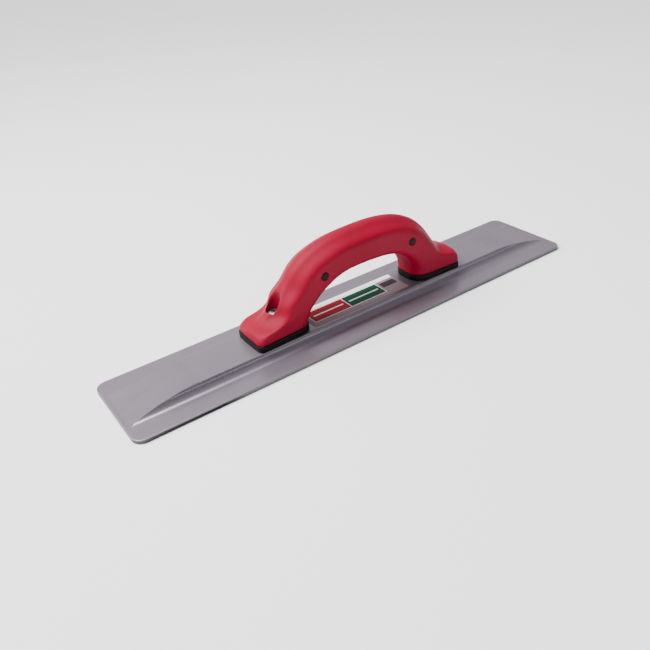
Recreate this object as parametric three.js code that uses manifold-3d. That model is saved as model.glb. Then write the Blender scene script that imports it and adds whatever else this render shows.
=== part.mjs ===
// A light-alloy hand float for concrete: a long flat blade with a raised spine, and a bridge handle
// made of a rigid core under a soft moulded grip, held down by two screws in deep wells.
// Millimetres, +Z up. The origin is the middle of the blade's flat working face; +X runs along the blade.
import * as THREE from "three";
import { mergeVertices } from "three/addons/utils/BufferGeometryUtils.js";
import Module from "manifold-3d";

const wasm = await Module();
wasm.setup();

// ---------------------------------------------------------------- driving dimensions
const BLADE_LENGTH = 406.4;
const BLADE_WIDTH = 79.4;
const FLANGE_THICKNESS = 3.2;
const SPINE_TOP = 10.5; // height of the raised spine that the handle stands on
const SPINE_HALF_WIDTH = 17.2;
const SPINE_EDGE_RADIUS = 0.9; // rounded edge along the spine's top
const COVE_RADIUS = SPINE_TOP - FLANGE_THICKNESS - SPINE_EDGE_RADIUS; // hollow fillet down to the flange
const RAMP_START = 158; // the spine is milled down from about here to the flange
const RAMP_END = 199.5;
const RAMP_BLEND = 14; // half the length of the curve that leads into the ramp
const BLADE_CORNER_RADIUS = 8;
const EDGE_CHAMFER = 0.6;

const FLANGE_HEIGHT = 5; // the core's foot that shows as a dark band under the grip
const FLANGE_LEDGE = 0.5; // and stands out past it all round
const SKIN_WALL = 2.6;
const CORE_GAP = 0.4; // clearance between the grip's cavity and the core

const HANDLE_X = 1.7; // the handle's middle, a little to the rear of the blade's
const SCREW_X = 74; // both screws stand this far from the handle's middle
const WELL_RADIUS = 6;
const WELL_TOP = 80; // well above the handle, for the cutters
const SLEEVE_RADIUS = 8; // the grip lines the well down to the screw's seat
const SEAT_Z = 23.2;
const SCREW_RADIUS = 3;
const SCREW_TIP_Z = 4.6;
const HOLE_CLEARANCE = 0.35;
const FLAT_WASHER = { radius: 5.7, thickness: 1.2 };
const LOCK_WASHER = { radius: 5.1, thickness: 1.5, slit: 1.1 };
const HEAD = { radius: 5.2, height: 3.9, rimHeight: 1.9, recess: 1.7 };

const PIN_RADIUS = 3; // core pins that come through the grip's sides
const PIN_REACH = 15.4; // from the middle to a pin's end, just below the grip's side
const PIN_CLEARANCE = 0.3;
const PINS = [
  { x: -36.5, z: 50.5 },
  { x: 47.1, z: 50.2 },
];

const LABEL = { length: 92.5, width: 28, thickness: 0.2, cornerRadius: 2.5 };

// The handle's side view, as pairs of points from the front foot over the top to the rear foot. Each row:
// outer x, outer z, inner x, inner z, half width outside and inside, the outer corner's width and depth,
// the inner corner's radius, and how much the back of the section is crowned.
const HANDLE_ROWS = [
  [-98.1, 15.5, -50.1, 15.5, 17.3, 15.6, 4.5, 4.5, 11.5, 0.3],
  [-98.1, 19, -49.6, 18.3, 17.3, 15.6, 6, 5, 11, 0.5],
  [-96.4, 22.6, -48.7, 21.5, 17.2, 15.6, 9, 9, 10, 1.2],
  [-89.5, 25.2, -47.3, 25, 17, 15.6, 12, 13, 9, 2.2],
  [-81.8, 30.2, -44.9, 28.3, 16.8, 15.6, 12, 13, 8, 2.6],
  [-75.2, 38.6, -41.5, 31.9, 16.5, 15.5, 10, 10, 7, 2.4],
  [-65.4, 47.8, -36.9, 35.5, 16.2, 15.3, 9.5, 9.5, 6.5, 2.4],
  [-55.6, 58.9, -30.5, 38.8, 16, 15.2, 9, 9, 6.5, 2.4],
  [-42.7, 67.1, -23.2, 42, 15.8, 15, 9, 9, 6.5, 2.4],
  [-23.5, 72.8, -12.4, 44.5, 15.7, 15, 9, 9, 6.5, 2.4],
  [-2, 74.6, 0, 45, 15.7, 15, 9, 9, 6.5, 2.4],
  [21, 74.2, 13, 44.7, 15.7, 15, 9, 9, 6.5, 2.4],
  [41.3, 70.4, 25, 43.6, 15.8, 15, 9, 9, 6.5, 2.4],
  [57.2, 62.8, 34.8, 41, 16, 15.2, 9, 9, 6.5, 2.4],
  [68.3, 52.8, 42.1, 36.2, 16.2, 15.4, 9, 9, 7, 2.4],
  [76.8, 41.2, 47.2, 30.7, 16.5, 15.5, 9, 9, 8, 2.3],
  [83, 32.2, 49.9, 26, 16.8, 15.6, 10, 11, 9, 2.3],
  [90, 28.8, 51, 22, 17, 15.6, 10, 11, 10, 2],
  [96.2, 26.2, 51.4, 19.5, 17.2, 15.6, 8, 8, 11, 1],
  [98.1, 22, 51.6, 17.8, 17.3, 15.6, 5.5, 5, 11, 0.5],
  [98.1, 15.5, 51.7, 15.5, 17.3, 15.6, 4.5, 4.5, 11.5, 0.3],
];

// How finely a loft is cut: stations between two rows, and steps along the parts of a half section.
const FINE = { between: 3, crown: 2, corner: 4, side: 1, innerCorner: 3, innerCrown: 1 };
const COARSE = { between: 2, crown: 1, corner: 3, side: 1, innerCorner: 3, innerCrown: 1 };
const AROUND = 28; // sides of the wells, pins and screws

// ---------------------------------------------------------------- materials
const lightAlloy = new THREE.MeshStandardMaterial({ color: 0xa29ca0, roughness: 0.42, metalness: 0.9 });
const softRed = new THREE.MeshStandardMaterial({ color: 0xc01c38, roughness: 0.55, metalness: 0 });
const rigidBlack = new THREE.MeshStandardMaterial({ color: 0x17171a, roughness: 0.4, metalness: 0 });
const brightSteel = new THREE.MeshStandardMaterial({ color: 0xc4c4c8, roughness: 0.28, metalness: 1 });
const springSteel = new THREE.MeshStandardMaterial({ color: 0x9a9aa0, roughness: 0.35, metalness: 1 });
const printedFilm = new THREE.MeshStandardMaterial({ color: 0xe4dfe2, roughness: 0.25, metalness: 0 });

// ---------------------------------------------------------------- solids
function toSolid(geometry) {
  const flat = geometry.index ? geometry.toNonIndexed() : geometry.clone();
  flat.deleteAttribute("normal");
  flat.deleteAttribute("uv");
  const merged = mergeVertices(flat, 1e-4);
  const vertProperties = new Float32Array(merged.attributes.position.array);
  const triVerts = new Uint32Array(merged.index.array);
  return new wasm.Manifold(new wasm.Mesh({ numProp: 3, vertProperties, triVerts }));
}

function toGeometry(body) {
  const mesh = body.getMesh();
  const geometry = new THREE.BufferGeometry();
  geometry.setAttribute("position", new THREE.BufferAttribute(mesh.vertProperties, 3));
  geometry.setIndex(new THREE.BufferAttribute(mesh.triVerts, 1));
  const faceted = geometry.toNonIndexed();
  faceted.computeVertexNormals();
  return faceted;
}

function node(name, body, material) {
  const mesh = new THREE.Mesh(toGeometry(body), material);
  mesh.name = name;
  return mesh;
}

function uprightCylinder(radius, bottom, top, x) {
  const geometry = new THREE.CylinderGeometry(radius, radius, top - bottom, AROUND);
  geometry.rotateX(Math.PI / 2);
  geometry.translate(x, 0, (bottom + top) / 2);
  return toSolid(geometry);
}

function crossCylinder(radius, length, x, z) {
  const geometry = new THREE.CylinderGeometry(radius, radius, length, AROUND);
  geometry.translate(x, 0, z);
  return toSolid(geometry);
}

function roundedRectangle(length, width, radius) {
  const x = length / 2;
  const y = width / 2;
  const shape = new THREE.Shape();
  shape.moveTo(-x + radius, -y);
  shape.lineTo(x - radius, -y);
  shape.absarc(x - radius, -y + radius, radius, -Math.PI / 2, 0);
  shape.lineTo(x, y - radius);
  shape.absarc(x - radius, y - radius, radius, 0, Math.PI / 2);
  shape.lineTo(-x + radius, y);
  shape.absarc(-x + radius, y - radius, radius, Math.PI / 2, Math.PI);
  shape.lineTo(-x, -y + radius);
  shape.absarc(-x + radius, -y + radius, radius, Math.PI, 1.5 * Math.PI);
  return shape;
}

// ---------------------------------------------------------------- blade
// The cross-section (y, z): thin flanges, hollow fillets and the raised spine.
function bladeSection() {
  const edge = BLADE_WIDTH / 2;
  const coveCentre = SPINE_HALF_WIDTH + COVE_RADIUS;
  const roundCentre = SPINE_HALF_WIDTH - SPINE_EDGE_RADIUS;
  const middle = SPINE_TOP - SPINE_EDGE_RADIUS;
  const shape = new THREE.Shape();
  shape.moveTo(-edge, 0);
  shape.lineTo(edge, 0);
  shape.lineTo(edge, FLANGE_THICKNESS);
  shape.lineTo(coveCentre, FLANGE_THICKNESS);
  shape.absarc(coveCentre, middle, COVE_RADIUS, 1.5 * Math.PI, Math.PI, true);
  shape.absarc(roundCentre, middle, SPINE_EDGE_RADIUS, 0, 0.5 * Math.PI);
  shape.lineTo(-roundCentre, SPINE_TOP);
  shape.absarc(-roundCentre, middle, SPINE_EDGE_RADIUS, 0.5 * Math.PI, Math.PI);
  shape.absarc(-coveCentre, middle, COVE_RADIUS, 0, -0.5 * Math.PI, true);
  shape.lineTo(-edge, FLANGE_THICKNESS);
  return shape;
}

// The side view (x, z): full height in the middle, then a curve into a straight ramp at each end. Its top is
// a hair above the spine's, so that the two never share a face.
function bladeSideView() {
  const end = BLADE_LENGTH / 2 + 1;
  const top = SPINE_TOP + 0.02;
  const slope = (top - FLANGE_THICKNESS) / (RAMP_END - RAMP_START);
  const flatEnd = RAMP_START - RAMP_BLEND;
  const curveEnd = RAMP_START + RAMP_BLEND;
  const curveEndZ = top - slope * RAMP_BLEND;
  const shape = new THREE.Shape();
  shape.moveTo(-end, -1);
  shape.lineTo(end, -1);
  shape.lineTo(end, FLANGE_THICKNESS);
  shape.lineTo(RAMP_END, FLANGE_THICKNESS);
  shape.lineTo(curveEnd, curveEndZ);
  shape.quadraticCurveTo(RAMP_START, top, flatEnd, top);
  shape.lineTo(-flatEnd, top);
  shape.quadraticCurveTo(-RAMP_START, top, -curveEnd, curveEndZ);
  shape.lineTo(-RAMP_END, FLANGE_THICKNESS);
  shape.lineTo(-end, FLANGE_THICKNESS);
  return shape;
}

function bladeBody() {
  const lengthwise = new THREE.ExtrudeGeometry(bladeSection(), {
    depth: BLADE_LENGTH + 2,
    bevelEnabled: false,
    curveSegments: 6,
  });
  const turn = new THREE.Matrix4().makeBasis(
    new THREE.Vector3(0, 1, 0),
    new THREE.Vector3(0, 0, 1),
    new THREE.Vector3(1, 0, 0),
  );
  lengthwise.applyMatrix4(turn);
  lengthwise.translate(-BLADE_LENGTH / 2 - 1, 0, 0);

  const sideways = new THREE.ExtrudeGeometry(bladeSideView(), {
    depth: BLADE_WIDTH + 2,
    bevelEnabled: false,
    curveSegments: 8,
  });
  sideways.rotateX(Math.PI / 2);
  sideways.translate(0, BLADE_WIDTH / 2 + 1, 0);

  const inset = 2 * EDGE_CHAMFER;
  const outline = roundedRectangle(
    BLADE_LENGTH - inset,
    BLADE_WIDTH - inset,
    BLADE_CORNER_RADIUS - EDGE_CHAMFER,
  );
  const plate = new THREE.ExtrudeGeometry(outline, {
    depth: FLANGE_THICKNESS - inset,
    bevelThickness: EDGE_CHAMFER,
    bevelSize: EDGE_CHAMFER,
    bevelSegments: 1,
    curveSegments: 8,
  });
  plate.translate(0, 0, EDGE_CHAMFER);
  const tower = new THREE.ExtrudeGeometry(outline, {
    depth: SPINE_TOP,
    bevelEnabled: false,
    curveSegments: 8,
  });
  tower.translate(0, 0, FLANGE_THICKNESS / 2);

  let body = toSolid(lengthwise).intersect(toSolid(sideways));
  body = body.intersect(toSolid(plate).add(toSolid(tower)));
  for (const side of [-1, 1]) {
    const bottom = SCREW_TIP_Z - 0.8;
    body = body.subtract(
      uprightCylinder(SCREW_RADIUS + HOLE_CLEARANCE, bottom, SPINE_TOP + 1, HANDLE_X + side * SCREW_X),
    );
  }
  return body;
}

// ---------------------------------------------------------------- handle
// Half of a handle section, from the middle of its back to the middle of its inner side. The first
// coordinate runs from the inner side (0) to the back (height), the second is the distance sideways.
function halfSection(height, row, cut) {
  const [, , , , outerWidth, innerWidth, outerRadius, outerDepth, innerRadius, crown] = row;
  const flat = outerWidth - outerRadius;
  const innerFlat = innerWidth - innerRadius;
  const innerCrown = 0.3 * crown;
  const back = new THREE.Vector2(height - crown, flat);
  const shoulder = new THREE.Vector2(height - crown - outerDepth, outerWidth);
  const hip = new THREE.Vector2(innerCrown + innerRadius, innerWidth);
  const belly = new THREE.Vector2(innerCrown, innerFlat);
  const backSlope = new THREE.Vector2((-2 * crown) / flat, 1).normalize();
  const sideSlope = shoulder.clone().sub(hip).normalize();
  const bend = 0.56;

  const pieces = [
    [new THREE.QuadraticBezierCurve(
      new THREE.Vector2(height, 0),
      new THREE.Vector2(height, flat / 2),
      back,
    ), cut.crown],
    [new THREE.CubicBezierCurve(
      back,
      back.clone().addScaledVector(backSlope, bend * outerRadius),
      shoulder.clone().addScaledVector(sideSlope, bend * outerDepth),
      shoulder,
    ), cut.corner],
    [new THREE.LineCurve(shoulder, hip), cut.side],
    [new THREE.CubicBezierCurve(
      hip,
      hip.clone().addScaledVector(sideSlope, -bend * innerRadius),
      belly.clone().add(new THREE.Vector2(0, bend * innerRadius)),
      belly,
    ), cut.innerCorner],
    [new THREE.LineCurve(belly, new THREE.Vector2(0, 0)), cut.innerCrown],
  ];
  const points = [new THREE.Vector2(height, 0)];
  for (const [curve, steps] of pieces) {
    points.push(...curve.getPoints(steps).slice(1));
  }
  return points;
}

// One closed ring of a section, in space: the section's plane holds the Y direction.
function sectionRing(row, inset, cut) {
  const outer = new THREE.Vector3(row[0], 0, row[1]);
  const inner = new THREE.Vector3(row[2], 0, row[3]);
  const along = outer.clone().sub(inner).normalize();
  const height = outer.distanceTo(inner) - 2 * inset;
  const sized = row.slice();
  sized[4] -= inset;
  sized[5] -= inset;
  for (const radius of [6, 7, 8]) {
    sized[radius] = Math.max(row[radius] - inset, 1.5);
  }
  const half = halfSection(height, sized, cut);
  const mirrored = half.slice(1, -1).reverse().map((p) => new THREE.Vector2(p.x, -p.y));
  return [...half, ...mirrored].map((p) => {
    const point = inner.clone().addScaledVector(along, p.x + inset);
    point.y = p.y;
    return point;
  });
}

// Rows between the given ones, by a smooth curve through each column.
function handleStations(between) {
  const last = HANDLE_ROWS.length - 1;
  const columns = HANDLE_ROWS[0].map(
    (_, column) => new THREE.SplineCurve(HANDLE_ROWS.map((row, i) => new THREE.Vector2(i, row[column]))),
  );
  const stations = [];
  for (let i = 0; i <= last * between; i++) {
    stations.push(columns.map((curve) => curve.getPoint(i / (last * between)).y));
  }
  return stations;
}

// The loft through all stations. reach carries both ends straight down below the feet.
function handleLoft(inset, cut, reach) {
  const rings = handleStations(cut.between).map((row) => sectionRing(row, inset, cut));
  if (reach > 0) {
    const drop = new THREE.Vector3(0, 0, -reach);
    rings.unshift(rings[0].map((p) => p.clone().add(drop)));
    rings.push(rings[rings.length - 1].map((p) => p.clone().add(drop)));
  }
  const count = rings[0].length;
  const positions = rings.flat().flatMap((p) => [p.x, p.y, p.z]);
  const index = [];
  for (let j = 0; j + 1 < rings.length; j++) {
    for (let i = 0; i < count; i++) {
      const a = j * count + i;
      const b = j * count + ((i + 1) % count);
      index.push(a, a + count, b, b, a + count, b + count);
    }
  }
  const end = (rings.length - 1) * count;
  for (let i = 1; i + 1 < count; i++) {
    index.push(0, i, i + 1, end, end + i + 1, end + i);
  }
  const geometry = new THREE.BufferGeometry();
  geometry.setAttribute("position", new THREE.Float32BufferAttribute(positions, 3));
  geometry.setIndex(index);
  return toSolid(geometry);
}

function gripBody() {
  let cavity = handleLoft(SKIN_WALL, COARSE, 1);
  let body = handleLoft(0, FINE, 0);
  for (const side of [-1, 1]) {
    cavity = cavity.subtract(uprightCylinder(SLEEVE_RADIUS, SEAT_Z, WELL_TOP, side * SCREW_X));
  }
  body = body.subtract(cavity);
  for (const side of [-1, 1]) {
    body = body.subtract(uprightCylinder(WELL_RADIUS, SEAT_Z - 1, WELL_TOP, side * SCREW_X));
  }
  for (const pin of PINS) {
    body = body.subtract(crossCylinder(PIN_RADIUS + PIN_CLEARANCE, 50, pin.x, pin.z));
  }
  return body;
}

// The core's foot: the outline of the grip's lower edge, a ledge wider all round.
function footPlate(row) {
  const ring = sectionRing(row, -FLANGE_LEDGE, FINE);
  const shape = new THREE.Shape(ring.map((p) => new THREE.Vector2(p.x, p.y)));
  const geometry = new THREE.ExtrudeGeometry(shape, { depth: FLANGE_HEIGHT, bevelEnabled: false });
  geometry.translate(0, 0, SPINE_TOP);
  return toSolid(geometry);
}

function coreBody() {
  let body = handleLoft(SKIN_WALL + CORE_GAP, COARSE, 1);
  body = body.add(footPlate(HANDLE_ROWS[0]));
  body = body.add(footPlate(HANDLE_ROWS[HANDLE_ROWS.length - 1]));
  for (const pin of PINS) {
    body = body.add(crossCylinder(PIN_RADIUS, 2 * PIN_REACH, pin.x, pin.z));
  }
  for (const side of [-1, 1]) {
    const x = side * SCREW_X;
    body = body.subtract(uprightCylinder(SLEEVE_RADIUS + CORE_GAP, SEAT_Z, WELL_TOP, x));
    body = body.subtract(uprightCylinder(SCREW_RADIUS + HOLE_CLEARANCE, SPINE_TOP - 1, SEAT_Z + 1, x));
  }
  return body;
}

// ---------------------------------------------------------------- hardware
function lathe(points, x) {
  const profile = points.map(([r, z]) => new THREE.Vector2(r, z));
  const geometry = new THREE.LatheGeometry(profile, AROUND);
  geometry.rotateX(Math.PI / 2);
  geometry.translate(x, 0, 0);
  return toSolid(geometry);
}

function flatWasherBody(x) {
  const hole = SCREW_RADIUS + HOLE_CLEARANCE;
  const top = SEAT_Z + FLAT_WASHER.thickness;
  const ring = uprightCylinder(FLAT_WASHER.radius, SEAT_Z, top, x);
  return ring.subtract(uprightCylinder(hole, SEAT_Z - 1, top + 1, x));
}

function lockWasherBody(x) {
  const hole = SCREW_RADIUS + HOLE_CLEARANCE;
  const bottom = SEAT_Z + FLAT_WASHER.thickness;
  const top = bottom + LOCK_WASHER.thickness;
  const ring = uprightCylinder(LOCK_WASHER.radius, bottom, top, x);
  const slit = new THREE.BoxGeometry(LOCK_WASHER.radius, LOCK_WASHER.slit, 3 * LOCK_WASHER.thickness);
  slit.rotateX(0.5);
  slit.translate(x + LOCK_WASHER.radius, 0, (bottom + top) / 2);
  return ring.subtract(uprightCylinder(hole, bottom - 1, top + 1, x)).subtract(toSolid(slit));
}

function screwBody(x) {
  const seat = SEAT_Z + FLAT_WASHER.thickness + LOCK_WASHER.thickness;
  const rim = seat + HEAD.rimHeight;
  const top = seat + HEAD.height;
  let body = lathe(
    [
      [0, SCREW_TIP_Z],
      [SCREW_RADIUS - 0.8, SCREW_TIP_Z],
      [SCREW_RADIUS, SCREW_TIP_Z + 0.8],
      [SCREW_RADIUS, seat],
      [HEAD.radius, seat],
      [HEAD.radius, rim],
      [0.9 * HEAD.radius, rim + 0.5 * (top - rim)],
      [0.68 * HEAD.radius, rim + 0.85 * (top - rim)],
      [0.35 * HEAD.radius, top],
      [0, top],
    ],
    x,
  );
  for (const turn of [0, Math.PI / 2]) {
    const slot = new THREE.BoxGeometry(1.1 * HEAD.radius, 1.1, 2 * HEAD.recess);
    slot.rotateZ(turn + Math.PI / 6);
    slot.translate(x, 0, top);
    body = body.subtract(toSolid(slot));
  }
  return body;
}

// ---------------------------------------------------------------- label
function labelBody() {
  const outline = roundedRectangle(LABEL.length, LABEL.width, LABEL.cornerRadius);
  const geometry = new THREE.ExtrudeGeometry(outline, {
    depth: LABEL.thickness,
    bevelEnabled: false,
    curveSegments: 4,
  });
  geometry.translate(0, 0, SPINE_TOP);
  return toSolid(geometry);
}

// ---------------------------------------------------------------- assembly
const handle = new THREE.Group();
handle.position.x = HANDLE_X;
handle.add(node("handle_core", coreBody(), rigidBlack));
handle.add(node("grip_skin", gripBody(), softRed));
for (const [place, x] of [["front", -SCREW_X], ["rear", SCREW_X]]) {
  handle.add(node(`${place}_flat_washer`, flatWasherBody(x), brightSteel));
  handle.add(node(`${place}_lock_washer`, lockWasherBody(x), springSteel));
  handle.add(node(`${place}_screw`, screwBody(x), brightSteel));
}

const handFloat = new THREE.Group();
handFloat.add(node("blade", bladeBody(), lightAlloy));
handFloat.add(node("label", labelBody(), printedFilm));
handFloat.add(handle);

export default handFloat;
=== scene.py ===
"""The looks of a light-alloy concrete hand float.

It has a satin blade with a ramped spine, and a soft red grip over a black core. Sizes are in millimetres in
the part's own frame (+X along the blade, +Z up) and are turned into metres as meshes are made.
"""

import math

import bmesh
import bpy
from mathutils import Matrix, Vector


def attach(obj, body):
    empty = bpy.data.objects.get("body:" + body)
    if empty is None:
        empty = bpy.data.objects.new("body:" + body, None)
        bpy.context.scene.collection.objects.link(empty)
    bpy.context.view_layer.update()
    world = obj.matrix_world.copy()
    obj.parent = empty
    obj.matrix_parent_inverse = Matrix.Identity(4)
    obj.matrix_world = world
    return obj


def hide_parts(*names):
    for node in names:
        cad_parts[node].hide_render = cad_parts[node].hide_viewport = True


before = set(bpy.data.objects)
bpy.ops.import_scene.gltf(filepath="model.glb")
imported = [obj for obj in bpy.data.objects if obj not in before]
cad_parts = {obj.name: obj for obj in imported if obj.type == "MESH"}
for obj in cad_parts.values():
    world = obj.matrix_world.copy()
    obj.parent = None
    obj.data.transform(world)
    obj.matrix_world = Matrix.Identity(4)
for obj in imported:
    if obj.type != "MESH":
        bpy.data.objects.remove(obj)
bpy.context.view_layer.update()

MM = 0.001

# ---------------------------------------------------------------- sizes
BLADE_LENGTH = 406.4
BLADE_WIDTH = 79.4
FLANGE_THICKNESS = 3.2
SPINE_TOP = 10.5
SPINE_HALF_WIDTH = 17.2
SPINE_EDGE_RADIUS = 0.9
COVE_RADIUS = SPINE_TOP - FLANGE_THICKNESS - SPINE_EDGE_RADIUS
RAMP_START = 158.0
RAMP_END = 199.5
RAMP_BLEND = 14.0
BLADE_CORNER_RADIUS = 8.0
EDGE_ROUND = 0.7
SOLE_ROUND = 0.5

FLANGE_HEIGHT = 5.0
FLANGE_LEDGE = 0.5
FOOT_TOP = SPINE_TOP + FLANGE_HEIGHT
SKIN_WALL = 2.6
CORE_GAP = 0.4

HANDLE_X = 1.7
SCREW_X = 74.0
WELL_RADIUS = 6.0
WELL_TOP = 80.0
SLEEVE_RADIUS = 8.0
SEAT_Z = 23.2
SCREW_RADIUS = 3.0
SCREW_TIP_Z = 4.6
WASHERS = 2.7
HEAD_RADIUS = 5.2
HEAD_HEIGHT = 3.9
HEAD_RIM = 1.9

PIN_RADIUS = 3.0
PIN_REACH = 15.4
PIN_FIT = 0.15
PINS = ((-36.5, 50.5), (47.1, 50.2))

LABEL_LENGTH = 92.5
LABEL_WIDTH = 28.0
LABEL_THICKNESS = 0.2
LABEL_CORNER_RADIUS = 2.5

# The handle's side view from the front foot over the top to the rear foot. Each row: outer x and z, inner
# x and z, half width outside and inside, the outer corner's width and depth, the inner corner's radius, and
# the crown of the back.
HANDLE_ROWS = (
    (-98.1, 15.5, -50.1, 15.5, 17.3, 15.6, 4.5, 4.5, 11.5, 0.3),
    (-98.1, 19, -49.6, 18.3, 17.3, 15.6, 6, 5, 11, 0.5),
    (-96.4, 22.6, -48.7, 21.5, 17.2, 15.6, 9, 9, 10, 1.2),
    (-89.5, 25.2, -47.3, 25, 17, 15.6, 12, 13, 9, 2.2),
    (-81.8, 30.2, -44.9, 28.3, 16.8, 15.6, 12, 13, 8, 2.6),
    (-75.2, 38.6, -41.5, 31.9, 16.5, 15.5, 10, 10, 7, 2.4),
    (-65.4, 47.8, -36.9, 35.5, 16.2, 15.3, 9.5, 9.5, 6.5, 2.4),
    (-55.6, 58.9, -30.5, 38.8, 16, 15.2, 9, 9, 6.5, 2.4),
    (-42.7, 67.1, -23.2, 42, 15.8, 15, 9, 9, 6.5, 2.4),
    (-23.5, 72.8, -12.4, 44.5, 15.7, 15, 9, 9, 6.5, 2.4),
    (-2, 74.6, 0, 45, 15.7, 15, 9, 9, 6.5, 2.4),
    (21, 74.2, 13, 44.7, 15.7, 15, 9, 9, 6.5, 2.4),
    (41.3, 70.4, 25, 43.6, 15.8, 15, 9, 9, 6.5, 2.4),
    (57.2, 62.8, 34.8, 41, 16, 15.2, 9, 9, 6.5, 2.4),
    (68.3, 52.8, 42.1, 36.2, 16.2, 15.4, 9, 9, 7, 2.4),
    (76.8, 41.2, 47.2, 30.7, 16.5, 15.5, 9, 9, 8, 2.3),
    (83, 32.2, 49.9, 26, 16.8, 15.6, 10, 11, 9, 2.3),
    (90, 28.8, 51, 22, 17, 15.6, 10, 11, 10, 2),
    (96.2, 26.2, 51.4, 19.5, 17.2, 15.6, 8, 8, 11, 1),
    (98.1, 22, 51.6, 17.8, 17.3, 15.6, 5.5, 5, 11, 0.5),
    (98.1, 15.5, 51.7, 15.5, 17.3, 15.6, 4.5, 4.5, 11.5, 0.3),
)


# ---------------------------------------------------------------- materials
class Nodes:
    """A short way to write a material's nodes."""

    def __init__(self, name):
        self.material = bpy.data.materials.new(name)
        self.material.use_nodes = True
        self.tree = self.material.node_tree
        self.tree.nodes.clear()
        self.output = self.add("ShaderNodeOutputMaterial")
        self.shader = self.add("ShaderNodeBsdfPrincipled")
        self.link(self.shader, "BSDF", self.output, "Surface")
        self.place = self.add("ShaderNodeTexCoord")

    def add(self, kind, **settings):
        node = self.tree.nodes.new(kind)
        for key, value in settings.items():
            setattr(node, key, value)
        return node

    def link(self, a, out, b, into):
        self.tree.links.new(a.outputs[out], b.inputs[into])

    def set(self, **values):
        """Sets the shader's own sockets, written with _ for a space."""
        for key, value in values.items():
            self.shader.inputs[key.replace("_", " ")].default_value = value

    def stretched(self, scale):
        """The piece's own coordinates in metres, times a scale along each axis."""
        mapping = self.add("ShaderNodeMapping")
        mapping.inputs["Scale"].default_value = scale
        self.link(self.place, "Object", mapping, "Vector")
        return mapping

    def noise(self, scale, detail=3.0, roughness=0.5):
        texture = self.add("ShaderNodeTexNoise")
        texture.inputs["Scale"].default_value = 1.0
        texture.inputs["Detail"].default_value = detail
        texture.inputs["Roughness"].default_value = roughness
        self.link(self.stretched(scale), "Vector", texture, "Vector")
        return texture

    def ramp(self, source, stops, output="Fac"):
        """Colours from (position, colour) stops."""
        ramp = self.add("ShaderNodeValToRGB")
        elements = ramp.color_ramp.elements
        while len(elements) < len(stops):
            elements.new(0.5)
        for element, (at, color) in zip(elements, stops):
            element.position = at
            element.color = (*color, 1)
        self.link(source, output, ramp, "Fac")
        return ramp

    def span(self, source, low, high, output="Fac", start=0.3, end=0.7):
        """Maps start..end of the source to low..high, and keeps to them beyond."""
        spread = self.add("ShaderNodeMapRange")
        spread.inputs["From Min"].default_value = start
        spread.inputs["From Max"].default_value = end
        spread.inputs["To Min"].default_value = low
        spread.inputs["To Max"].default_value = high
        self.link(source, output, spread, "Value")
        return spread

    def bump(self, source, output, height, previous=None):
        """Relief of a height in millimetres, on top of a previous one if there is one."""
        bump = self.add("ShaderNodeBump")
        bump.inputs["Strength"].default_value = 1.0
        bump.inputs["Distance"].default_value = height * MM
        self.link(source, output, bump, "Height")
        if previous is not None:
            self.link(previous, "Normal", bump, "Normal")
        return bump


def grey(value):
    return (value, value, value)


def alloy(name, line_scale, dark, light, rough, shine=0.6):
    """Satin light alloy: fine drawn lines, faint cloudy patches and a few rubbed streaks."""
    n = Nodes(name)
    n.set(Metallic=shine)
    clouds = n.noise((9, 22, 22), 4.0, 0.55)
    colour = n.ramp(clouds, [(0.3, dark), (0.7, light)])
    n.link(colour, "Color", n.shader, "Base Color")
    lines = n.noise(line_scale, 5.0, 0.6)
    streaks = n.noise((4, 160, 160), 3.0, 0.5)
    mix = n.add("ShaderNodeMath", operation="ADD")
    n.link(n.span(lines, rough - 0.03, rough + 0.03), "Result", mix, 0)
    n.link(n.span(streaks, -0.02, 0.03), "Result", mix, 1)
    n.link(mix, "Value", n.shader, "Roughness")
    grain = n.bump(lines, "Fac", 0.0014)
    pits = n.noise((700, 1500, 1500), 2.0, 0.5)
    fine = n.bump(pits, "Fac", 0.002, grain)
    n.link(fine, "Normal", n.shader, "Normal")
    return n.material


def painted_shade_edge():
    """The blade's narrow side, its colour painted shade: nearly black towards the front end, dark grey along
    the rest, standing in for the dark reflection and contact shadow on that side.
    """
    n = Nodes("painted_shade_edge")
    n.set(Metallic=1.0)
    split = n.add("ShaderNodeSeparateXYZ")
    n.link(n.place, "Object", split, "Vector")
    shade_boundary_wobble = n.noise((60, 200, 200), 4.0, 0.6)
    shifted = n.add("ShaderNodeMath", operation="ADD")
    n.link(split, "X", shifted, 0)
    n.link(n.span(shade_boundary_wobble, -0.006, 0.006), "Result", shifted, 1)
    reach = 0.205
    along = n.span(shifted, 0, 1, "Value", -reach, reach)
    # Painted shade along the narrow side: nearly black near the front end, dark grey elsewhere.
    painted_shade_stops = [
        (0.0, grey(0.08)),
        (0.06, grey(0.025)),
        (0.17, grey(0.012)),
        (0.21, grey(0.1)),
        (1.0, grey(0.085)),
    ]
    colour = n.ramp(along, painted_shade_stops, "Result")
    n.link(colour, "Color", n.shader, "Base Color")
    lines = n.noise((300, 300, 3200), 3.0, 0.6)
    n.link(n.span(lines, 0.4, 0.55), "Result", n.shader, "Roughness")
    n.link(n.bump(lines, "Fac", 0.006), "Normal", n.shader, "Normal")
    return n.material


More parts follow.
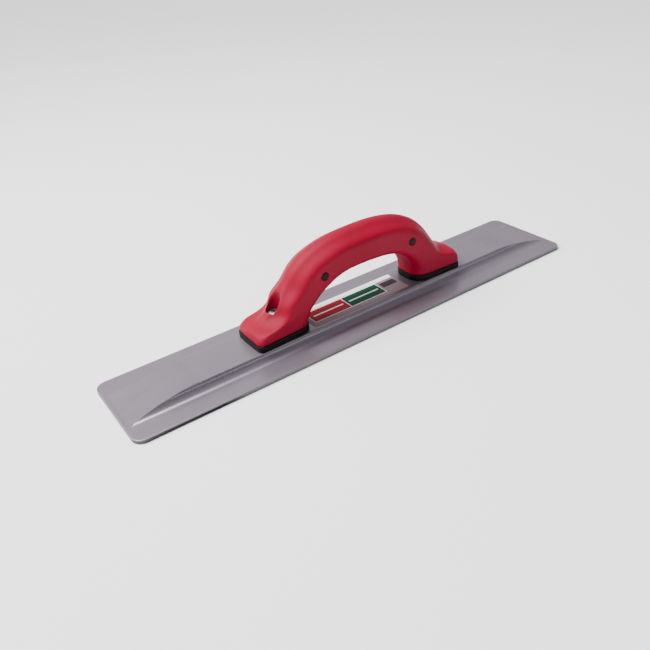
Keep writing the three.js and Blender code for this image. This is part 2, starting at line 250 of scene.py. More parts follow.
def soft_rubber():
    """Moulded elastomer: satin, with a very fine skin and slight colour drift."""
    n = Nodes("soft_red_elastomer")
    drift = n.noise((22, 22, 22), 4.0, 0.6)
    colour = n.ramp(drift, [(0.3, (0.206, 0.0001, 0.014)), (0.7, (0.238, 0.0002, 0.019))])
    n.link(colour, "Color", n.shader, "Base Color")
    rub = n.noise((60, 60, 60), 5.0, 0.6)
    n.link(n.span(rub, 0.45, 0.56), "Result", n.shader, "Roughness")
    skin = n.noise((2600, 2600, 2600), 2.0, 0.5)
    low = n.noise((180, 180, 180), 2.0, 0.5)
    first = n.bump(skin, "Fac", 0.016)
    second = n.bump(low, "Fac", 0.03, first)
    n.link(second, "Normal", n.shader, "Normal")
    n.set(Specular_IOR_Level=0.11)
    return n.material


def black_plastic():
    """Rigid moulded plastic with a fine spark-eroded texture and light handling marks."""
    n = Nodes("rigid_black_plastic")
    dust = n.noise((90, 90, 90), 5.0, 0.65)
    colour = n.ramp(dust, [(0.35, grey(0.002)), (0.75, grey(0.005))])
    n.link(colour, "Color", n.shader, "Base Color")
    n.link(n.span(dust, 0.36, 0.5), "Result", n.shader, "Roughness")
    texture = n.noise((1800, 1800, 1800), 2.0, 0.5)
    n.link(n.bump(texture, "Fac", 0.012), "Normal", n.shader, "Normal")
    n.set(Specular_IOR_Level=0.1)
    return n.material


def plated_steel(name, level, rough):
    """Bright plated steel with turning marks round its own axis."""
    n = Nodes(name)
    n.set(Metallic=1.0)
    patches = n.noise((240, 240, 240), 4.0, 0.6)
    colour = n.ramp(patches, [(0.3, grey(level * 0.86)), (0.7, grey(level))])
    n.link(colour, "Color", n.shader, "Base Color")
    n.link(n.span(patches, rough - 0.06, rough + 0.08), "Result", n.shader, "Roughness")
    marks = n.noise((300, 300, 5200), 2.0, 0.5)
    n.link(n.bump(marks, "Fac", 0.006), "Normal", n.shader, "Normal")
    return n.material


FILM_ROUGHNESS = 0.3


def film(name, low, high):
    """Printed film: even ink with a faint mottle under a smooth surface."""
    n = Nodes(name)
    ink = n.noise((70, 70, 70), 3.0, 0.5)
    colour = n.ramp(ink, [(0.3, low), (0.7, high)])
    n.link(colour, "Color", n.shader, "Base Color")
    n.link(n.span(ink, FILM_ROUGHNESS - 0.02, FILM_ROUGHNESS + 0.03), "Result", n.shader, "Roughness")
    waves = n.noise((55, 80, 80), 2.0, 0.5)
    n.link(n.bump(waves, "Fac", 0.02), "Normal", n.shader, "Normal")
    n.set(Specular_IOR_Level=0.07)
    return n.material


DRAWN = (7, 2600, 2600)
MILLED = (1900, 60, 1900)
blade_top = alloy("satin_alloy", DRAWN, (0.178, 0.155, 0.18), (0.202, 0.176, 0.204), 0.31)
blade_ramp = alloy("milled_alloy", MILLED, (0.17, 0.148, 0.172), (0.193, 0.168, 0.195), 0.31)
# The blade's narrow side, its darkness painted shade.
blade_edge = painted_shade_edge()
blade_sole = alloy("worn_sole", DRAWN, (0.2, 0.18, 0.2), (0.26, 0.24, 0.26), 0.34, 0.8)
red = soft_rubber()
black = black_plastic()
steel = plated_steel("bright_plated_steel", 0.34, 0.26)
spring = plated_steel("plated_spring_steel", 0.36, 0.36)


# ---------------------------------------------------------------- mesh tools
def piece_from(name, points, faces, materials, slots=None):
    """A smooth-shaded piece from points in millimetres."""
    mesh = bpy.data.meshes.new(name)
    mesh.from_pydata([Vector(p) * MM for p in points], [], faces)
    for material in materials:
        mesh.materials.append(material)
    if slots:
        mesh.polygons.foreach_set("material_index", slots)
    mesh.polygons.foreach_set("use_smooth", [True] * len(mesh.polygons))
    mesh.update()
    piece = bpy.data.objects.new(name, mesh)
    bpy.context.scene.collection.objects.link(piece)
    return piece


def bake(piece):
    """Turns a piece's modifiers into plain mesh."""
    bpy.context.view_layer.update()
    graph = bpy.context.evaluated_depsgraph_get()
    old = piece.data
    piece.data = bpy.data.meshes.new_from_object(piece.evaluated_get(graph))
    piece.modifiers.clear()
    bpy.data.meshes.remove(old)


def carve(piece, cutters):
    """Cuts each cutter out of the piece, and removes the cutters."""
    for cutter in cutters:
        cut = piece.modifiers.new("cut", "BOOLEAN")
        cut.operation = "DIFFERENCE"
        cut.solver = "EXACT"
        cut.object = cutter
        bake(piece)
        bpy.data.objects.remove(cutter)


def cylinder(radius, length, centre, axis="Z", sides=64):
    """A closed cutter or pin, centred on a point."""
    bm = bmesh.new()
    bmesh.ops.create_cone(
        bm, cap_ends=True, segments=sides, radius1=radius, radius2=radius, depth=length,
    )
    if axis == "Y":
        bmesh.ops.rotate(bm, verts=bm.verts, matrix=Matrix.Rotation(math.pi / 2, 3, "X"))
    bmesh.ops.translate(bm, verts=bm.verts, vec=centre)
    bmesh.ops.scale(bm, verts=bm.verts, vec=(MM, MM, MM))
    mesh = bpy.data.meshes.new("cutter")
    bm.to_mesh(mesh)
    bm.free()
    made = bpy.data.objects.new("cutter", mesh)
    bpy.context.scene.collection.objects.link(made)
    return made


def revolve(profile, centre_x, sides=72):
    """A turned body: (radius, height) points from the axis at the bottom to the axis at the top."""
    points = []
    faces = []
    inner = profile[1:-1]
    for radius, height in inner:
        for i in range(sides):
            angle = 2 * math.pi * i / sides
            points.append((centre_x + radius * math.cos(angle), radius * math.sin(angle), height))
    for j in range(len(inner) - 1):
        for i in range(sides):
            a = j * sides + i
            b = j * sides + (i + 1) % sides
            faces.append((a, b, b + sides, a + sides))
    for at, height in ((0, profile[0][1]), (len(inner) - 1, profile[-1][1])):
        centre = len(points)
        points.append((centre_x, 0, height))
        for i in range(sides):
            a = at * sides + i
            b = at * sides + (i + 1) % sides
            faces.append((centre, b, a) if at == 0 else (centre, a, b))
    return points, faces


def sharpen(piece, degrees):
    """Flat shading across edges that turn more than this, smooth elsewhere."""
    bm = bmesh.new()
    bm.from_mesh(piece.data)
    limit = math.radians(degrees)
    for edge in bm.edges:
        if len(edge.link_faces) == 2 and edge.calc_face_angle(0) > limit:
            edge.smooth = False
    bm.to_mesh(piece.data)
    bm.free()


# ---------------------------------------------------------------- blade
LONG_STEPS = 14
RAMP_STEPS = 22
SUPPORT = 0.2
LEAST_RUN = 0.8
CLOSE = 0.01
TOP_SLOT, RAMP_SLOT, EDGE_SLOT, SOLE_SLOT = range(4)


def arc(centre_y, centre_z, radius, start, end, steps):
    """The points of an arc after its first one, with the angles in degrees."""
    made = []
    for i in range(1, steps + 1):
        angle = math.radians(start + (end - start) * i / steps)
        made.append((centre_y + radius * math.cos(angle), centre_z + radius * math.sin(angle)))
    return made


def half_cross_section():
    """(y, z) from the middle of the spine to the start of the rounded rim."""
    middle = SPINE_TOP - SPINE_EDGE_RADIUS
    round_y = SPINE_HALF_WIDTH - SPINE_EDGE_RADIUS
    cove_y = SPINE_HALF_WIDTH + COVE_RADIUS
    corner_y = BLADE_WIDTH / 2 - BLADE_CORNER_RADIUS
    reach = BLADE_CORNER_RADIUS - EDGE_ROUND
    points = [(round_y * i / 4, SPINE_TOP) for i in range(4)]
    points += [(round_y - SUPPORT, SPINE_TOP), (round_y, SPINE_TOP)]
    points += arc(round_y, middle, SPINE_EDGE_RADIUS, 90, 0, 6)
    points += arc(cove_y, middle, COVE_RADIUS, 180, 270, 18)
    points += [(cove_y + SUPPORT, FLANGE_THICKNESS)]
    points += [(cove_y + (corner_y - cove_y) * i / 3, FLANGE_THICKNESS) for i in range(1, 4)]
    points += [
        (corner_y + reach * math.sin(math.pi / 2 * i / 12), FLANGE_THICKNESS) for i in range(1, 13)
    ]
    return points


RAMP_SLOPE = (SPINE_TOP - FLANGE_THICKNESS) / (RAMP_END - RAMP_START)


def ramp_height(x):
    """The milled ramp's height: level, then a curve, then a straight slope down to the flange."""
    past = abs(x) - RAMP_START
    if past <= -RAMP_BLEND:
        return SPINE_TOP
    if past < RAMP_BLEND:
        return SPINE_TOP - RAMP_SLOPE * (past + RAMP_BLEND) ** 2 / (4 * RAMP_BLEND)
    return max(SPINE_TOP - RAMP_SLOPE * past, FLANGE_THICKNESS)


def ramp_crossing(z):
    """Where the ramp has come down to a height."""
    drop = SPINE_TOP - z
    if drop < RAMP_SLOPE * RAMP_BLEND:
        return RAMP_START - RAMP_BLEND + math.sqrt(4 * RAMP_BLEND * drop / RAMP_SLOPE)
    return RAMP_START + drop / RAMP_SLOPE


def blade_columns(y, z):
    """Stations along the blade for one line of the cross-section, from one end to the other."""
    past = max(abs(y) - (BLADE_WIDTH / 2 - BLADE_CORNER_RADIUS), 0)
    reach = BLADE_CORNER_RADIUS - EDGE_ROUND
    end = BLADE_LENGTH / 2 - BLADE_CORNER_RADIUS + math.sqrt(max(reach ** 2 - past ** 2, 0))
    tip = min(RAMP_END, end - LEAST_RUN)
    cross = min(ramp_crossing(z), tip - LEAST_RUN)
    xs = [cross * i / LONG_STEPS for i in range(LONG_STEPS + 1)]
    xs += [cross + (tip - cross) * i / RAMP_STEPS for i in range(1, RAMP_STEPS + 1)]
    xs += [tip + (end - SUPPORT - tip) * i / 2 for i in (1, 2)] + [end]
    return [-x for x in reversed(xs[1:])] + xs


def blade_piece():
    """The extruded blade: lines of the cross-section run lengthwise and dip to the ramps at both ends."""
    half = half_cross_section()
    section = [(-y, z) for y, z in reversed(half[1:])] + half
    points = []
    columns = []
    for y, z in section:
        row = []
        for x in blade_columns(y, z):
            row.append(len(points))
            points.append((x, y, min(z, ramp_height(x))))
        columns.append(row)

    width = len(columns[0])
    middle = width // 2
    faces = []
    slots = []
    for j in range(len(columns) - 1):
        on_spine = max(abs(section[j][0]), abs(section[j + 1][0])) < SPINE_HALF_WIDTH + COVE_RADIUS
        for i in range(width - 1):
            faces.append((columns[j][i], columns[j][i + 1], columns[j + 1][i + 1], columns[j + 1][i]))
            away = max(abs(i - middle), abs(i + 1 - middle))
            on_ramp = LONG_STEPS < away <= LONG_STEPS + RAMP_STEPS
            slots.append(RAMP_SLOT if on_ramp and on_spine else TOP_SLOT)

    # The rim: rings from the top's outline over a rounded edge, down the side and under to the sole.
    loop = columns[0][:] + [row[-1] for row in columns[1:]]
    loop += columns[-1][-2::-1] + [row[0] for row in columns[-2:0:-1]]
    corner = Vector((BLADE_LENGTH / 2 - BLADE_CORNER_RADIUS, BLADE_WIDTH / 2 - BLADE_CORNER_RADIUS))
    outward = []
    for k in loop:
        x, y, _ = points[k]
        dx = math.copysign(max(abs(x) - corner.x, 0), x)
        dy = math.copysign(max(abs(y) - corner.y, 0), y)
        outward.append(Vector((dx, dy)).normalized())
    rings = []
    for i in range(1, 6):
        angle = math.pi / 2 * i / 5
        lowered = FLANGE_THICKNESS - EDGE_ROUND * (1 - math.cos(angle))
        rings.append((EDGE_ROUND * math.sin(angle), lowered, TOP_SLOT))
    for i in range(5):
        angle = math.pi / 2 * i / 4
        inward = SOLE_ROUND * (1 - math.cos(angle))
        slot = EDGE_SLOT if i == 0 else SOLE_SLOT
        rings.append((EDGE_ROUND - inward, SOLE_ROUND * (1 - math.sin(angle)), slot))
    rings.append((EDGE_ROUND - SOLE_ROUND - SUPPORT, 0, SOLE_SLOT))
    previous = loop
    count = len(loop)
    for out, z, slot in rings:
        ring = []
        for k, normal in zip(loop, outward):
            x, y, _ = points[k]
            ring.append(len(points))
            points.append((x + normal.x * out, y + normal.y * out, z))
        for i in range(count):
            j = (i + 1) % count
            faces.append((previous[j], previous[i], ring[i], ring[j]))
            slots.append(slot)
        previous = ring
    faces.append(tuple(reversed(previous)))
    slots.append(SOLE_SLOT)
    surfaces = [blade_top, blade_ramp, blade_edge, blade_sole]
    blade = piece_from("blade_satin", points, faces, surfaces, slots)
    blade.data.polygons[-1].use_smooth = False

    # Crisp creases where the ramps meet the spine's sides and the flange.
    creases = set()
    for j in range(len(columns) - 1):
        low = max(section[j][1], section[j + 1][1]) <= FLANGE_THICKNESS + CLOSE
        flat = min(section[j][1], section[j + 1][1]) >= SPINE_TOP - CLOSE
        for side in (-1, 1):
            if not low and not flat:
                at = middle + side * LONG_STEPS
                creases.add(frozenset((columns[j][at], columns[j + 1][at])))
            if not low:
                at = middle + side * (LONG_STEPS + RAMP_STEPS)
                creases.add(frozenset((columns[j][at], columns[j + 1][at])))
    for edge in blade.data.edges:
        if frozenset(edge.vertices) in creases:
            edge.use_edge_sharp = True
    return blade


# ---------------------------------------------------------------- handle
def spline(values, between):
    """Uniform Catmull-Rom through the values, with this many steps from one to the next."""
    last = len(values) - 1
    made = []
    for step in range(last * between + 1):
        at, t = divmod(step, between)
        if at == last:
            at, t = last - 1, between
        t /= between
        p1, p2 = values[at], values[at + 1]
        p0 = values[max(at - 1, 0)]
        p3 = values[min(at + 2, last)]
        v0, v1 = (p2 - p0) / 2, (p3 - p1) / 2
        cubic = 2 * p1 - 2 * p2 + v0 + v1
        square = -3 * p1 + 3 * p2 - 2 * v0 - v1
        made.append((cubic * t + square) * t * t + v0 * t + p1)
    return made


def bezier(a, b, c, d, steps):
    """The points of a cubic curve after its first one."""
    made = []
    for i in range(1, steps + 1):
        t = i / steps
        s = 1 - t
        made.append(a * s ** 3 + b * (3 * s * s * t) + c * (3 * s * t * t) + d * t ** 3)
    return made


INNER_CROWN = 0.3
CORNER_BEND = 0.56
LEAST_RADIUS = 1.5


def half_section(height, row, cut):
    """Half of a handle section, from the middle of its back to the middle of its inner side."""
    outer_w, inner_w, outer_r, outer_d, inner_r, crown = row[4:10]
    inner_crown = INNER_CROWN * crown
    flat = outer_w - outer_r
    top = Vector((height, 0))
    back = Vector((height - crown, flat))
    shoulder = Vector((height - crown - outer_d, outer_w))
    hip = Vector((inner_crown + inner_r, inner_w))
    belly = Vector((inner_crown, inner_w - inner_r))
    back_slope = Vector((-2 * crown / flat, 1)).normalized()
    side_slope = (shoulder - hip).normalized()
    crest = Vector((height, flat / 2))
    points = [top]
    points += bezier(top, top.lerp(crest, 2 / 3), back.lerp(crest, 2 / 3), back, cut["crown"])
    points += bezier(
        back,
        back + back_slope * CORNER_BEND * outer_r,
        shoulder + side_slope * CORNER_BEND * outer_d,
        shoulder,
        cut["corner"],
    )
    points += [shoulder.lerp(hip, i / cut["side"]) for i in range(1, cut["side"] + 1)]
    points += bezier(
        hip,
        hip - side_slope * CORNER_BEND * inner_r,
        belly + Vector((0, CORNER_BEND * inner_r)),
        belly,
        cut["inner"],
    )
    points += [belly.lerp(Vector((0, 0)), i / cut["belly"]) for i in range(1, cut["belly"] + 1)]
    return points


def section_ring(row, inset, cut):
    """The handle's section at one row of its side view, drawn in on every side by the inset."""
    outer = Vector((row[0] + HANDLE_X, 0, row[1]))
    inner = Vector((row[2] + HANDLE_X, 0, row[3]))
    along = (outer - inner).normalized()
    sized = list(row)
    sized[4] -= inset
    sized[5] -= inset
    for radius in (6, 7, 8):
        sized[radius] = max(row[radius] - inset, LEAST_RADIUS)
    half = half_section((outer - inner).length - 2 * inset, sized, cut)
    ring = half + [Vector((p.x, -p.y)) for p in reversed(half[1:-1])]
    return [inner + along * (p.x + inset) + Vector((0, p.y, 0)) for p in ring]


FINE = {"crown": 6, "corner": 9, "side": 4, "inner": 7, "belly": 3}


def handle_loft(name, inset, between, reach, material):
    """The handle's whole form, drawn in by the inset, with both ends stretched down by the reach."""
    columns = [spline(values, between) for values in zip(*HANDLE_ROWS)]
    rings = [section_ring(row, inset, FINE) for row in zip(*columns)]
    if reach:
        drop = Vector((0, 0, -reach))
        rings.insert(0, [p + drop for p in rings[0]])
        rings.append([p + drop for p in rings[-1]])
    count = len(rings[0])
    points = [p for ring in rings for p in ring]
    faces = []
    for j in range(len(rings) - 1):
        for i in range(count):
            a, b = j * count + i, j * count + (i + 1) % count
            faces.append((a, a + count, b + count, b))
    faces.append(tuple(range(count)))
    faces.append(tuple(reversed(range(len(points) - count, len(points)))))
    return piece_from(name, points, faces, [material])


def screw_places():
    return [HANDLE_X - SCREW_X, HANDLE_X + SCREW_X]


def well_cutter(radius, bottom, x):
    """A round cutter from a height up past the top of the handle."""
    return cylinder(radius, WELL_TOP - bottom, (x, 0, (WELL_TOP + bottom) / 2))


GRIP_VOXEL = 0.48
GRIP_PASSES = 9
LIP_BAND = 1.6
LIP_PASSES = 30
LIP_BOTTOM = SEAT_Z + 3
PIN_CUTTER = 50.0


def relax_lips(grip):
    """Evens out and rounds the lips of the screw wells."""
    bm = bmesh.new()
    bm.from_mesh(grip.data)
    near = []
    for vert in bm.verts:
        x, y, z = vert.co / MM
        off = min(abs(math.hypot(x - place, y) - WELL_RADIUS) for place in screw_places())
        if off < LIP_BAND and z > LIP_BOTTOM:
            near.append(vert)
    for _ in range(LIP_PASSES):
        bmesh.ops.smooth_vert(
            bm, verts=near, factor=0.5, use_axis_x=True, use_axis_y=True, use_axis_z=True,
        )
    bm.to_mesh(grip.data)
    bm.free()


def grip_piece():
    """The soft skin: the handle's form, hollowed for the core, with wells and pin holes, then softened."""
    grip = handle_loft("grip_red", 0, 8, 0, red)
    cavity = handle_loft("cavity", SKIN_WALL, 5, 1, red)
    carve(cavity, [well_cutter(SLEEVE_RADIUS, SEAT_Z, x) for x in screw_places()])
    carve(grip, [cavity])
    carve(grip, [well_cutter(WELL_RADIUS, SEAT_Z - 1, x) for x in screw_places()])
    pin_hole = PIN_RADIUS + PIN_FIT
    carve(grip, [cylinder(pin_hole, PIN_CUTTER, (HANDLE_X + x, 0, z), "Y") for x, z in PINS])
    remesh = grip.modifiers.new("even", "REMESH")
    remesh.mode = "VOXEL"
    remesh.voxel_size = GRIP_VOXEL * MM
    remesh.use_smooth_shade = True
    soften = grip.modifiers.new("soften", "SMOOTH")
    soften.factor = 0.5
    soften.iterations = GRIP_PASSES
    bake(grip)
    relax_lips(grip)
    grip.data.materials.clear()
    grip.data.materials.append(red)
    return grip


FOOT_ROUND = 0.6
PIN_EDGE = 0.5
CREASE = 40
SCREW_CREASE = 35


def foot_rings(row):
    """The core's foot, as rings from its lower face up, with rounded edges, a ledge wider than the grip."""
    outline = section_ring(row, -FLANGE_LEDGE, FINE)
    centre = sum(outline, Vector()) / len(outline)
    angles = [math.pi / 2 * i / 4 for i in range(5)]
    levels = []
    for angle in angles:
        levels.append((FOOT_ROUND * (1 - math.sin(angle)), SPINE_TOP + FOOT_ROUND * (1 - math.cos(angle))))
    for angle in angles:
        levels.append((FOOT_ROUND * (1 - math.cos(angle)), FOOT_TOP - FOOT_ROUND * (1 - math.sin(angle))))
    rings = []
    for inset, z in levels:
        ring = []
        for p in outline:
            inward = centre - p
            inward.z = 0
            ring.append(Vector((p.x, p.y, 0)) + inward.normalized() * inset + Vector((0, 0, z)))
        rings.append(ring)
    return rings


def foot_piece(name, row):
    rings = foot_rings(row)
    count = len(rings[0])
    points = [p for ring in rings for p in ring]
    flip = row[0] > 0
    faces = []
    for j in range(len(rings) - 1):
        for i in range(count):
            a, b = j * count + i, j * count + (i + 1) % count
            face = (a, b, b + count, a + count)
            faces.append(face if flip else face[::-1])
    bottom = tuple(range(count))
    top = tuple(range(len(points) - count, len(points)))
    faces.append(bottom[::-1] if flip else bottom)
    faces.append(top if flip else top[::-1])
    return piece_from(name, points, faces, [black])


def pin_piece(x, z):
    pin = cylinder(PIN_RADIUS, 2 * PIN_REACH, (HANDLE_X + x, 0, z), "Y", 48)
    pin.data.materials.append(black)
    edge = pin.modifiers.new("edge", "BEVEL")
    edge.width = PIN_EDGE * MM
    edge.segments = 3
    edge.limit_method = "ANGLE"
    bake(pin)
    pin.data.polygons.foreach_set("use_smooth", [True] * len(pin.data.polygons))
    return pin


def join(name, pieces):
    """One object out of several closed shells."""
    bm = bmesh.new()
    for piece in pieces:
        bm.from_mesh(piece.data)
    mesh = bpy.data.meshes.new(name)
    bm.to_mesh(mesh)
    bm.free()
    mesh.materials.append(pieces[0].data.materials[0])
    for piece in pieces:
        bpy.data.objects.remove(piece)
    made = bpy.data.objects.new(name, mesh)
    bpy.context.scene.collection.objects.link(made)
    return made


def core_piece():
    """The rigid core: the arch inside the skin, both feet and the pins that show at its sides."""
    arch = handle_loft("arch", SKIN_WALL + CORE_GAP, 5, 0.5, black)
    carve(arch, [well_cutter(SLEEVE_RADIUS + CORE_GAP, SEAT_Z, x) for x in screw_places()])
    sharpen(arch, CREASE)
    feet = [foot_piece("front_foot", HANDLE_ROWS[0]), foot_piece("rear_foot", HANDLE_ROWS[-1])]
    for foot in feet:
        sharpen(foot, CREASE)
    pins = [pin_piece(x, z) for x, z in PINS]
    return join("core_black", [arch, *feet, *pins])


# ---------------------------------------------------------------- hardware
THREAD_PITCH = 1.0
THREAD_DEPTH = 0.42
THREAD_START = SCREW_TIP_Z + 1.2
SCREW_POINT = 0.8
HEAD_CHAMFER = 0.3
SLOT_SIZE = (6.2, 1.15, 3.4)
SLOT_TAPER = 0.45


def screw_piece(name, x):
    """A pan-head screw with fine ridges for its thread and a tapering cross recess."""
    seat = SEAT_Z + WASHERS
    rim = seat + HEAD_RIM
    dome = HEAD_HEIGHT - HEAD_RIM
    neck = SCREW_RADIUS - 0.1
    profile = [
        (0, SCREW_TIP_Z),
        (SCREW_RADIUS - SCREW_POINT, SCREW_TIP_Z),
        (neck, SCREW_TIP_Z + SCREW_POINT),
    ]
    z = THREAD_START
    while z < seat - 2:
        profile += [(SCREW_RADIUS, z), (SCREW_RADIUS - THREAD_DEPTH, z + THREAD_PITCH / 2)]
        z += THREAD_PITCH
    profile += [(neck, seat - 1), (neck, seat), (HEAD_RADIUS - HEAD_CHAMFER, seat)]
    profile += [(HEAD_RADIUS, seat + HEAD_CHAMFER), (HEAD_RADIUS, rim - 0.2)]
    for i in range(1, 10):
        angle = math.pi / 2 * i / 9
        profile.append((HEAD_RADIUS * math.cos(angle) ** 0.75, rim + dome * math.sin(angle)))
    profile[-1] = (0.3, rim + dome)
    profile.append((0, rim + dome))
    points, faces = revolve(profile, x)
    screw = piece_from(name, points, faces, [steel])
    for turn in (30, 120):
        bm = bmesh.new()
        bmesh.ops.create_cube(bm, size=1)
        bmesh.ops.scale(bm, verts=bm.verts, vec=SLOT_SIZE)
        for vert in bm.verts:
            if vert.co.z < 0:
                vert.co.x *= SLOT_TAPER
        bmesh.ops.rotate(bm, verts=bm.verts, matrix=Matrix.Rotation(math.radians(turn), 3, "Z"))
        bmesh.ops.translate(bm, verts=bm.verts, vec=(x, 0, rim + dome))
        bmesh.ops.scale(bm, verts=bm.verts, vec=(MM, MM, MM))
        mesh = bpy.data.meshes.new("slot")
        bm.to_mesh(mesh)
        bm.free()
        slot_cutter = bpy.data.objects.new("slot", mesh)
        bpy.context.scene.collection.objects.link(slot_cutter)
        carve(screw, [slot_cutter])
    sharpen(screw, SCREW_CREASE)
    return screw


# ---------------------------------------------------------------- label
CLEAR, WHITE, RED, GREEN, GREY = range(5)


def label_piece():
    """A film with plain colour fields: no lettering and no mark."""
    radius = LABEL_CORNER_RADIUS
    inks = {
        CLEAR: film("film_clear", (0.22, 0.178, 0.185), (0.25, 0.2, 0.21)),
        WHITE: film("ink_white", (0.7, 0.7, 0.76), (0.78, 0.78, 0.84)),
        RED: film("ink_red", (0.27, 0.0003, 0.007), (0.3, 0.0006, 0.009)),
        GREEN: film("ink_green", (0.001, 0.045, 0.018), (0.002, 0.055, 0.023)),
        GREY: film("ink_grey", (0.034, 0.022, 0.03), (0.046, 0.03, 0.04)),
    }
    bm = bmesh.new()
    outline = []
    for cx, cy, start in ((1, 1, 0), (-1, 1, 90), (-1, -1, 180), (1, -1, 270)):
        for i in range(9):
            angle = math.radians(start + 90 * i / 8)
            outline.append(
                (
                    cx * (LABEL_LENGTH / 2 - radius) + radius * math.cos(angle),
                    cy * (LABEL_WIDTH / 2 - radius) + radius * math.sin(angle),
                    SPINE_TOP,
                )
            )
    face = bm.faces.new([bm.verts.new(p) for p in outline])
    lifted = bmesh.ops.extrude_face_region(bm, geom=[face])
    for item in lifted["geom"]:
        if isinstance(item, bmesh.types.BMVert):
            item.co.z += LABEL_THICKNESS
    bmesh.ops.recalc_face_normals(bm, faces=bm.faces)
    # Each field: ink, x from and to, y from and to. Later fields lie over earlier ones.
    fields = (
        (WHITE, -45, 45.5, 8.4, 13.2),
        (WHITE, -42.6, 27.6, -8.6, 8.4),
        (RED, -42, -8, -8, 7.6),
        (GREEN, -7.2, 27, -8, 7.6),
        (WHITE, -39, -10.5, -0.9, 0.5),
        (WHITE, -4.7, 24.5, -0.9, 0.5),
        (GREY, 29.5, 44, -2, 5.4),
    )
    for axis, normal in ((1, (1, 0, 0)), (3, (0, 1, 0))):
        for cut in sorted({field[axis] for field in fields} | {field[axis + 1] for field in fields}):
            everything = bm.verts[:] + bm.edges[:] + bm.faces[:]
            at = [cut * v for v in normal]
            bmesh.ops.bisect_plane(bm, geom=everything, plane_co=at, plane_no=normal)
    for part in bm.faces:
        c = part.calc_center_median()
        if c.z > SPINE_TOP + 0.9 * LABEL_THICKNESS:
            for ink, x0, x1, y0, y1 in fields:
                if x0 < c.x < x1 and y0 < c.y < y1:
                    part.material_index = ink
    bmesh.ops.scale(bm, verts=bm.verts, vec=(MM, MM, MM))
    mesh = bpy.data.meshes.new("label_film")
    bm.to_mesh(mesh)
    bm.free()
    for ink in inks.values():
        mesh.materials.append(ink)
    label = bpy.data.objects.new("label_film", mesh)
    bpy.context.scene.collection.objects.link(label)
    return label


# ---------------------------------------------------------------- assembly
def stand_for(piece, slot, *nodes):
    """The piece takes the place of CAD nodes. The slot is not used."""
    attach(piece, "root")
    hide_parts(*nodes)


stand_for(blade_piece(), "light_alloy", "blade")
stand_for(core_piece(), "rigid_black", "handle_core")
stand_for(grip_piece(), "soft_red", "grip_skin")
for place, x in zip(("front", "rear"), screw_places()):
    stand_for(screw_piece(f"{place}_screw_plated", x), "plated_steel", f"{place}_screw")
stand_for(label_piece(), "label_film", "label")

for place in ("front", "rear"):
    for kind, material in (("flat_washer", steel), ("lock_washer", spring)):
        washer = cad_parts[f"{place}_{kind}"]
        for slot in washer.material_slots:
            slot.material = material


# ---------------------------------------------------------------- floor, light and camera
def floor_material():
    """Matt and nearly white, with a faint change of tone."""
    n = Nodes("pale_floor")
    tone = n.noise((1.5, 1.5, 1.5), 2.0, 0.5)
    n.link(n.ramp(tone, [(0.3, grey(0.86)), (0.7, grey(0.88))]), "Color", n.shader, "Base Color")
    n.set(Roughness=0.9)
    return n.material


FLOOR_REACH = 8
floor_corners = [(x * FLOOR_REACH, y * FLOOR_REACH, 0) for x, y in ((-1, -1), (1, -1), (1, 1), (-1, 1))]
floor_mesh = bpy.data.meshes.new("floor")
floor_mesh.from_pydata(floor_corners, [], [(0, 1, 2, 3)])
floor_mesh.materials.append(floor_material())
floor = bpy.data.objects.new("floor", floor_mesh)
bpy.context.scene.collection.objects.link(floor)


# A long softbox overhead on the far side, its end just past the handle, and a broad soft lamp far off to the
# left and behind.
SOFTBOX_AT = (-0.42, 0.24, 1.2)
SOFTBOX_SIZE = (1.1, 0.3)
SOFTBOX_POWER = 30
LAMP_FROM = (-0.6, 0.35, 0.72)
LAMP_STRENGTH = 3.4
LAMP_SPREAD = math.radians(45)

softbox_data = bpy.data.lights.new("softbox", "AREA")
softbox_data.shape = "RECTANGLE"
softbox_data.size, softbox_data.size_y = SOFTBOX_SIZE
softbox_data.energy = SOFTBOX_POWER
softbox = bpy.data.objects.new("softbox", softbox_data)
softbox.location = SOFTBOX_AT
softbox.rotation_euler = Vector((0, 0, -1)).to_track_quat("-Z", "Y").to_euler()
bpy.context.scene.collection.objects.link(softbox)

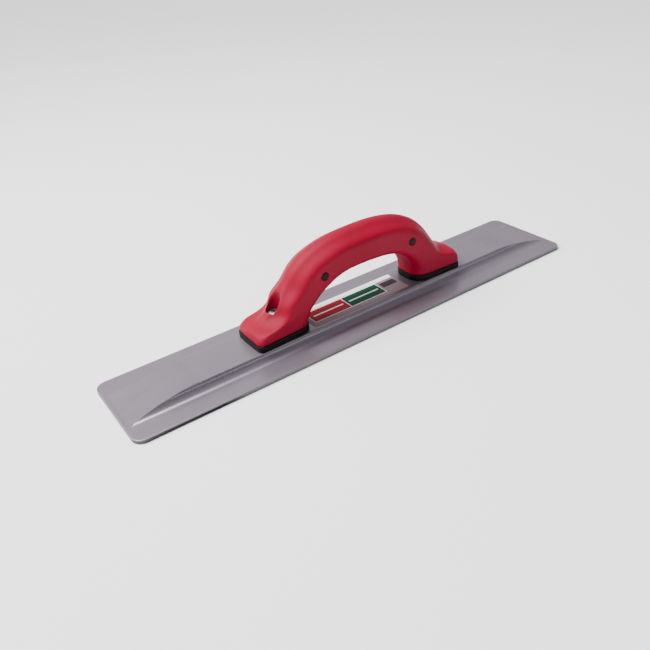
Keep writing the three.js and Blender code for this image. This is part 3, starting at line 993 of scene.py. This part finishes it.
lamp_data = bpy.data.lights.new("left_lamp", "SUN")
lamp_data.energy = LAMP_STRENGTH
lamp_data.angle = LAMP_SPREAD
left_lamp = bpy.data.objects.new("left_lamp", lamp_data)
left_lamp.rotation_euler = Vector(LAMP_FROM).to_track_quat("Z", "Y").to_euler()
bpy.context.scene.collection.objects.link(left_lamp)

# The room: bright behind, above and to the left, dimmer to the right and on the near side.
ROOM_BRIGHT_SIDE = Vector((-0.5, 0.74, 0.45)).normalized()
ROOM_DIM = (0.28, 0.28, 0.31, 1)
ROOM_BRIGHT = (1, 0.97, 1, 1)
ROOM_STRENGTH = 1.5

world = bpy.data.worlds.new("studio")
bpy.context.scene.world = world
world.use_nodes = True
tree = world.node_tree
heading = tree.nodes.new("ShaderNodeTexCoord")
facing = tree.nodes.new("ShaderNodeVectorMath")
facing.operation = "DOT_PRODUCT"
facing.inputs[1].default_value = ROOM_BRIGHT_SIDE
tree.links.new(heading.outputs["Generated"], facing.inputs[0])
tones = tree.nodes.new("ShaderNodeValToRGB")
dim, bright = tones.color_ramp.elements
dim.position = 0.0
dim.color = ROOM_DIM
bright.position = 0.9
bright.color = ROOM_BRIGHT
tree.links.new(facing.outputs["Value"], tones.inputs["Fac"])
tree.links.new(tones.outputs["Color"], tree.nodes["Background"].inputs["Color"])
tree.nodes["Background"].inputs["Strength"].default_value = ROOM_STRENGTH

CAMERA_AT = Vector((-0.2739, -0.3875, 0.2897))
CAMERA_AIM = Vector((-0.0555, -0.0417, 0.03))
CAMERA_ROLL = math.radians(5.24)
LENS = 38.13

camera_data = bpy.data.cameras.new("camera")
camera_data.lens = LENS
camera_data.sensor_width = 36
camera_data.clip_start = 0.01
camera = bpy.data.objects.new("camera", camera_data)
look = (CAMERA_AIM - CAMERA_AT).normalized()
level = look.cross(Vector((0, 0, 1))).normalized()
upright = level.cross(look)
up = upright * math.cos(CAMERA_ROLL) + level * math.sin(CAMERA_ROLL)
side = look.cross(up)
turn = Matrix((side, up, -look)).transposed()
camera.matrix_world = Matrix.Translation(CAMERA_AT) @ turn.to_4x4()
bpy.context.scene.collection.objects.link(camera)
bpy.context.scene.camera = camera
